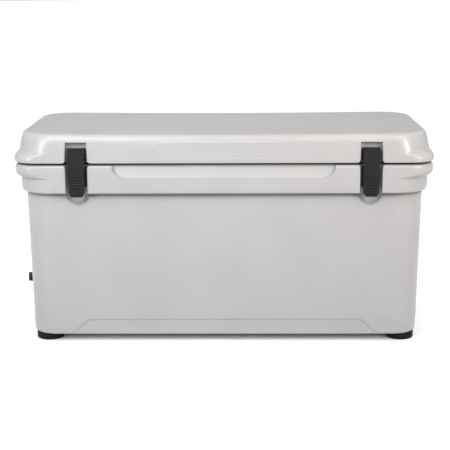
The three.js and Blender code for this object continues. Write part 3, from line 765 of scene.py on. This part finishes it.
def make_latches(nylon, steel):
    plate_back = LATCH_FLOOR_Y - GAP
    plate_front = plate_back - PLATE_T
    for name, side in (("left", -1), ("right", 1)):
        x, body = side * LATCH_X, "latch_" + name
        vertices, faces = shifted(lever_shape(), x)
        add_piece(f"lever_{name}", vertices, faces, nylon, body, [f"latch_lever_{name}"], "black_nylon", 30)
        plate = slab(-PLATE_HALF, PLATE_HALF, plate_front, plate_back, *BRACKET_SPAN, 1.2)
        arms = [arm_shape(*span, plate_front + 0.6) for span in ((11.5, 14.5), (-14.5, -11.5))]
        vertices, faces = shifted(joined(plate, *arms), x)
        stands_for = [f"latch_bracket_{name}"]
        add_piece(f"bracket_{name}", vertices, faces, nylon, "lid", stands_for, "black_nylon", 30)
        plate = slab(-PLATE_HALF, PLATE_HALF, plate_front, plate_back, *KEEPER_SPAN, 1.2)
        lip = slab(-12, 12, -216.5, plate_front + 0.6, 393, 397, 1.0)
        vertices, faces = shifted(joined(plate, lip), x)
        stands_for = [f"latch_keeper_{name}"]
        add_piece(f"keeper_{name}", vertices, faces, nylon, "tub", stands_for, "black_nylon", 30)
        rod = rounded_rod(2.5, -LEVER_HALF + 0.6, LEVER_HALF - 0.6, 0.5)
        rod = turned(rod, "x", (0, PIVOT.y, PIVOT.z), 28)
        vertices, faces = shifted(rod, x)
        add_piece(f"pin_{name}", vertices, faces, steel, "lid", [f"latch_pin_{name}"], "steel")
        for part, body, places in (
            ("bracket", "lid", ((-14, 434), (14, 434))), ("keeper", "tub", ((0, 376), (0, 407))),
        ):
            for i, (across, z) in enumerate(places):
                vertices, faces = cross_screw(x + across, plate_front - GAP, z, 3.7, 1.9, 16)
                cad_name = f"{part}_screw_{name}_{i + 1}"
                add_piece(cad_name + "_head", vertices, faces, steel, body, [cad_name], "steel", 30)


# ---- feet ----
def make_feet(rubber, steel):
    radius, top = 31, FOOT_H - 0.35
    profile = [(4, 8), (9, 8), (9, 0.8), (9.8, 0)]
    for ring in (14, 18, 22):
        profile += [(ring, 0), (ring + 0.6, 0.9), (ring + 1.8, 0.9), (ring + 2.4, 0)]
    profile += [(27, 0), (28.5, 0.3), (30, 1.3), (30.8, 2.8), (31, 4.5)]
    profile += [(radius, 9), (radius - 0.7, 9.6), (radius - 0.7, 10.4), (radius, 11)]
    profile += [(radius, top - 0.8), (radius - 0.8, top), (4, top)]
    for across in (-1, 1):
        for deep in (-1, 1):
            corner = ("back" if deep > 0 else "front") + ("_right" if across > 0 else "_left")
            place = (across * FOOT_X, deep * FOOT_Y, 0)
            vertices, faces = turned(profile, "z", place, 72)
            name = f"rubber_foot_{corner}"
            add_piece(name, vertices, faces, rubber, "tub", [f"foot_{corner}"], "foot_rubber")
            vertices, faces = cross_screw(0, 0, 0, 7.5, 3, 28, 1.8)
            vertices = [(place[0] + x, place[1] + z, 7.6 + y) for x, y, z in vertices]
            cad_name = f"foot_screw_{corner}"
            add_piece(cad_name + "_head", vertices, faces, steel, "tub", [cad_name], "steel", 30)


# ---- drain and ports ----
def threaded(radius, start, end, pitch, depth, centre, sides=48):
    """A screw thread on a rod along X."""
    steps = int((end - start) / 0.6)
    rings = []
    for level in range(steps + 1):
        along = start + (end - start) * level / steps
        fade = min(1.0, level / 4, (steps - level) / 4)
        ring = []
        for i in range(sides):
            angle = 2 * math.pi * i / sides
            wave = 0.5 + 0.5 * math.cos(2 * math.pi * along / pitch - angle)
            reach = radius - depth + depth * wave * fade
            ring.append((along, centre[1] + reach * math.cos(angle), centre[2] + reach * math.sin(angle)))
        rings.append(ring)
    return skin(rings)


def make_drain(nylon, seal):
    centre = (0, 0, DRAIN.z)
    face = -DRAIN_FACE
    flange = [(10, face - 4.5), (19.6, face - 4.5), (20.9, face - 4.1), (21.8, face - 3.1)]
    flange += [(22, face - 2), (22, face)]
    profile = flange + [(13, face), (13, -390.2), (12.4, -389.8), (10, -389.8)]
    vertices, faces = turned(profile, "x", centre, 72)
    add_piece("drain_spout", vertices, faces, nylon, "tub", ["drain_fitting"], "black_nylon", 30)
    wall = -(CAVITY_X - (RIM_Z - DRAIN.z) * CAVITY_DRAFT) + 0.35
    profile = [(13.35, wall), (19, wall), (19, wall + 3.5), (18.2, wall + 4.6)]
    profile += [(17, wall + 5), (13.35, wall + 5)]
    nut = lobed(turned(profile, "x", centre, 96), centre, "x", 16, 8, 2.2)
    add_piece("drain_ring_nut", *nut, nylon, "tub", ["drain_nut"], "black_nylon", 30)
    washer = face - 4.5 - 0.35
    profile = tube_profile(10, 15, washer - 2, washer, 0.7)
    vertices, faces = turned(profile, "x", centre, 48)
    add_piece("drain_washer_ring", vertices, faces, seal, "drain_washer", ["drain_seal"], "seal_rubber")
    head = washer - 2.35
    profile = [(0, head - 8), (14, head - 8), (16.2, head - 7.6), (17.6, head - 6)]
    profile += [(18, head - 4), (18, head - 2), (17.2, head - 0.3), (16, head)]
    profile += [(9, head), (8.6, head + 1), (0, head + 1)]
    cap = lobed(turned(profile, "x", centre, 120), centre, "x", 16.5, 20, 1.1)
    thread = threaded(9.4, head + 0.5, head + 22, 6, 0.9, centre)
    grip = []
    for x, half, long in (
        (head - 7, 5.4, 12.5), (head - 9, 4.4, 11.6), (-DRAIN_REACH + 3, 3.9, 11.2),
        (-DRAIN_REACH + 1, 3.4, 10.6), (-DRAIN_REACH, 2.0, 9.2),
    ):
        ring = []
        for i in range(40):
            angle = 2 * math.pi * i / 40
            across = math.copysign(abs(math.sin(angle)) ** 0.7, math.sin(angle)) * half
            up = math.copysign(abs(math.cos(angle)) ** 0.8, math.cos(angle)) * long
            ring.append((x, across, DRAIN.z + up))
        grip.append(ring)
    vertices, faces = joined(cap, thread, skin(grip))
    add_piece("drain_cap", vertices, faces, nylon, "drain_screw", ["drain_plug"], "black_nylon", 32)


def make_ports(shell):
    profile = [(0, 17.5), (11.5, 17.5), (12.2, 17.3), (13, 17.4), (13.5, 17.8), (13.65, 18.6), (0, 18.6)]
    vertices, faces = turned(profile, "z", (0, 0, 0), 48)
    add_piece("tub_port_cover", vertices, faces, shell, "tub", ["body_port_plug"], "shell_plastic")
    back, height = LID_SHIFT_Y + LID_Y - 2.9, 462
    profile = [(0, -2), (9.65, -2), (9.65, 0.3), (9.3, 0.8), (8.4, 1), (7.8, 0.6), (0, 0.6)]
    vertices, faces = turned(profile, "y", (0, back, height), 40)
    vertices = [(x, y - (z - height) * 0.2, z) for x, y, z in vertices]
    add_piece("lid_port_cover", vertices, faces, shell, "lid", ["lid_port_plug"], "shell_plastic")


# ---- materials ----
def material(name, colour, dark, roughness, spread, metallic=0.0, coat=0.0):
    """A Principled material whose colour and roughness drift between two values, ready for bumps."""
    made = bpy.data.materials.new(name)
    made.use_nodes = True
    nodes, links = made.node_tree.nodes, made.node_tree.links
    shader = nodes["Principled BSDF"]
    shader.inputs["Metallic"].default_value = metallic
    shader.inputs["Coat Weight"].default_value = coat
    where = nodes.new("ShaderNodeTexCoord").outputs["Object"]
    tint = noise(nodes, links, where, 9, 1)
    links.new(ramp(nodes, links, tint, colour, dark, 0.35, 0.68), shader.inputs["Base Color"])
    haze = noise(nodes, links, where, 23, 1)
    low, high = roughness - spread, roughness + spread
    gloss = ramp(nodes, links, haze, (low, low, low), (high, high, high), 0.3, 0.7)
    links.new(gloss, shader.inputs["Roughness"])
    return made, nodes, links, shader, where


def noise(nodes, links, where, scale, detail, stretch=None):
    if stretch:
        turn = nodes.new("ShaderNodeMapping")
        turn.inputs["Scale"].default_value = stretch
        links.new(where, turn.inputs["Vector"])
        where = turn.outputs["Vector"]
    texture = nodes.new("ShaderNodeTexNoise")
    texture.inputs["Scale"].default_value = scale
    texture.inputs["Detail"].default_value = detail
    links.new(where, texture.inputs["Vector"])
    return texture.outputs["Fac"]


def ramp(nodes, links, value, first, second, start, end):
    made = nodes.new("ShaderNodeValToRGB")
    made.color_ramp.elements[0].position = start
    made.color_ramp.elements[0].color = (*first, 1)
    made.color_ramp.elements[1].position = end
    made.color_ramp.elements[1].color = (*second, 1)
    links.new(value, made.inputs["Fac"])
    return made.outputs["Color"]


def add_bump(nodes, links, shader, height, distance, strength=1.0):
    """Stacks another layer of bump under those already there."""
    bump = nodes.new("ShaderNodeBump")
    bump.inputs["Distance"].default_value = distance * MM
    bump.inputs["Strength"].default_value = strength
    links.new(height, bump.inputs["Height"])
    previous = shader.inputs["Normal"].links
    if previous:
        links.new(previous[0].from_socket, bump.inputs["Normal"])
    links.new(bump.outputs["Normal"], shader.inputs["Normal"])


def shell_material():
    made, nodes, links, shader, where = material(
        "moulded_shell", (0.305, 0.303, 0.306), (0.293, 0.291, 0.294), 0.32, 0.03,
    )
    shader.inputs["Specular IOR Level"].default_value = 0.4
    add_bump(nodes, links, shader, noise(nodes, links, where, 5, 2), 1.2, 0.35)
    add_bump(nodes, links, shader, noise(nodes, links, where, 60, 2), 0.04, 0.3)
    add_bump(nodes, links, shader, noise(nodes, links, where, 900, 2), 0.008, 0.2)
    return made


def nylon_material():
    made, nodes, links, shader, where = material(
        "black_nylon", (0.004, 0.004, 0.0045), (0.007, 0.007, 0.0075), 0.42, 0.06,
    )
    shader.inputs["Specular IOR Level"].default_value = 0.27
    add_bump(nodes, links, shader, noise(nodes, links, where, 900, 4), 0.06, 0.7)
    return made


def rubber_material(name, colour, dark, scale):
    made, nodes, links, shader, where = material(name, colour, dark, 0.68, 0.08)
    shader.inputs["Specular IOR Level"].default_value = 0.15
    add_bump(nodes, links, shader, noise(nodes, links, where, scale, 5), 0.12, 0.8)
    dust = noise(nodes, links, where, 60, 6)
    add_bump(nodes, links, shader, ramp(nodes, links, dust, (0, 0, 0), (1, 1, 1), 0.55, 0.8), 0.1, 0.5)
    return made


def steel_material():
    made, nodes, links, shader, where = material(
        "brushed_steel", (0.62, 0.62, 0.63), (0.5, 0.5, 0.51), 0.3, 0.08, metallic=1.0,
    )
    add_bump(nodes, links, shader, noise(nodes, links, where, 400, 3, (0.05, 1, 1)), 0.05, 0.6)
    return made


# ---- studio ----
def make_floor():
    made = bpy.data.materials.new("studio_floor")
    made.use_nodes = True
    shader = made.node_tree.nodes["Principled BSDF"]
    shader.inputs["Base Color"].default_value = (0.95, 0.95, 0.95, 1)
    shader.inputs["Roughness"].default_value = 0.9
    shader.inputs["Specular IOR Level"].default_value = 0.0
    mesh = bpy.data.meshes.new("floor")
    half = 30.0
    corners = [(-half, -half, 0), (half, -half, 0), (half, half, 0), (-half, half, 0)]
    mesh.from_pydata(corners, [], [(0, 1, 2, 3)])
    floor = bpy.data.objects.new("floor", mesh)
    floor.data.materials.append(made)
    bpy.context.scene.collection.objects.link(floor)


def add_light(name, place, target, width, height, watts, colour, beam):
    data = bpy.data.lights.new(name, "AREA")
    data.shape = "RECTANGLE"
    data.size = width
    data.size_y = height
    data.energy = watts
    data.color = colour
    data.spread = math.radians(beam)
    light = bpy.data.objects.new(name, data)
    light.location = place
    light.rotation_euler = (Vector(target) - Vector(place)).to_track_quat("-Z", "Y").to_euler()
    bpy.context.scene.collection.objects.link(light)


def make_world():
    """A soft dome, brightest overhead and dim towards the horizon."""
    world = bpy.data.worlds.new("studio")
    world.use_nodes = True
    nodes, links = world.node_tree.nodes, world.node_tree.links
    where = nodes.new("ShaderNodeTexCoord").outputs["Generated"]
    split = nodes.new("ShaderNodeSeparateXYZ")
    links.new(where, split.inputs["Vector"])
    dome = ramp(nodes, links, split.outputs["Z"], (0.12, 0.12, 0.12), (1, 1, 1), 0.0, 0.85)
    links.new(dome, nodes["Background"].inputs["Color"])
    nodes["Background"].inputs["Strength"].default_value = 1.4
    bpy.context.scene.world = world


def make_studio():
    make_world()
    bpy.context.scene.view_settings.view_transform = "Standard"
    add_light("key_left", (-0.9, -1.75, 1.85), (-0.35, -0.1, 0.8), 1.1, 0.7, 4.2, (0.955, 0.98, 1.0), 48)
    add_light("key_right", (1.0, -1.75, 1.85), (0.35, -0.1, 0.8), 1.1, 0.7, 2.9, (1.0, 0.86, 0.74), 48)
    add_light("left_box", (-1.65, -1.73, 0.95), (-0.37, -0.2, 0.5), 0.25, 0.9, 2.2, (1, 1, 1), 50)
    add_light("right_box", (1.65, -1.73, 0.95), (0.37, -0.2, 0.5), 0.25, 0.9, 2.4, (1.0, 0.97, 0.94), 50)


def make_camera():
    data = bpy.data.cameras.new("view")
    data.sensor_width = 36
    data.lens = 95.3
    camera = bpy.data.objects.new("view", data)
    turn = Matrix.Rotation(math.radians(0.84), 4, "Z")
    tilt = Matrix.Rotation(math.radians(90 - 12.21), 4, "X")
    roll = Matrix.Rotation(math.radians(-0.28), 4, "Z")
    camera.matrix_world = Matrix.Translation((0.0466, -2.843, 0.8508)) @ turn @ tilt @ roll
    bpy.context.scene.collection.objects.link(camera)
    bpy.context.scene.camera = camera


shell_plastic = shell_material()
black_nylon = nylon_material()
foot_rubber = rubber_material("foot_rubber", (0.004, 0.004, 0.004), (0.007, 0.007, 0.007), 500)
seal_rubber = rubber_material("seal_rubber", (0.09, 0.09, 0.095), (0.12, 0.12, 0.125), 700)
stainless = steel_material()

make_tub(shell_plastic)
make_lid(shell_plastic)
make_seal(seal_rubber)
make_hinge(shell_plastic, stainless, black_nylon)
make_latches(black_nylon, stainless)
make_feet(foot_rubber, stainless)
make_drain(black_nylon, seal_rubber)
make_ports(shell_plastic)

make_floor()
make_studio()
make_camera()
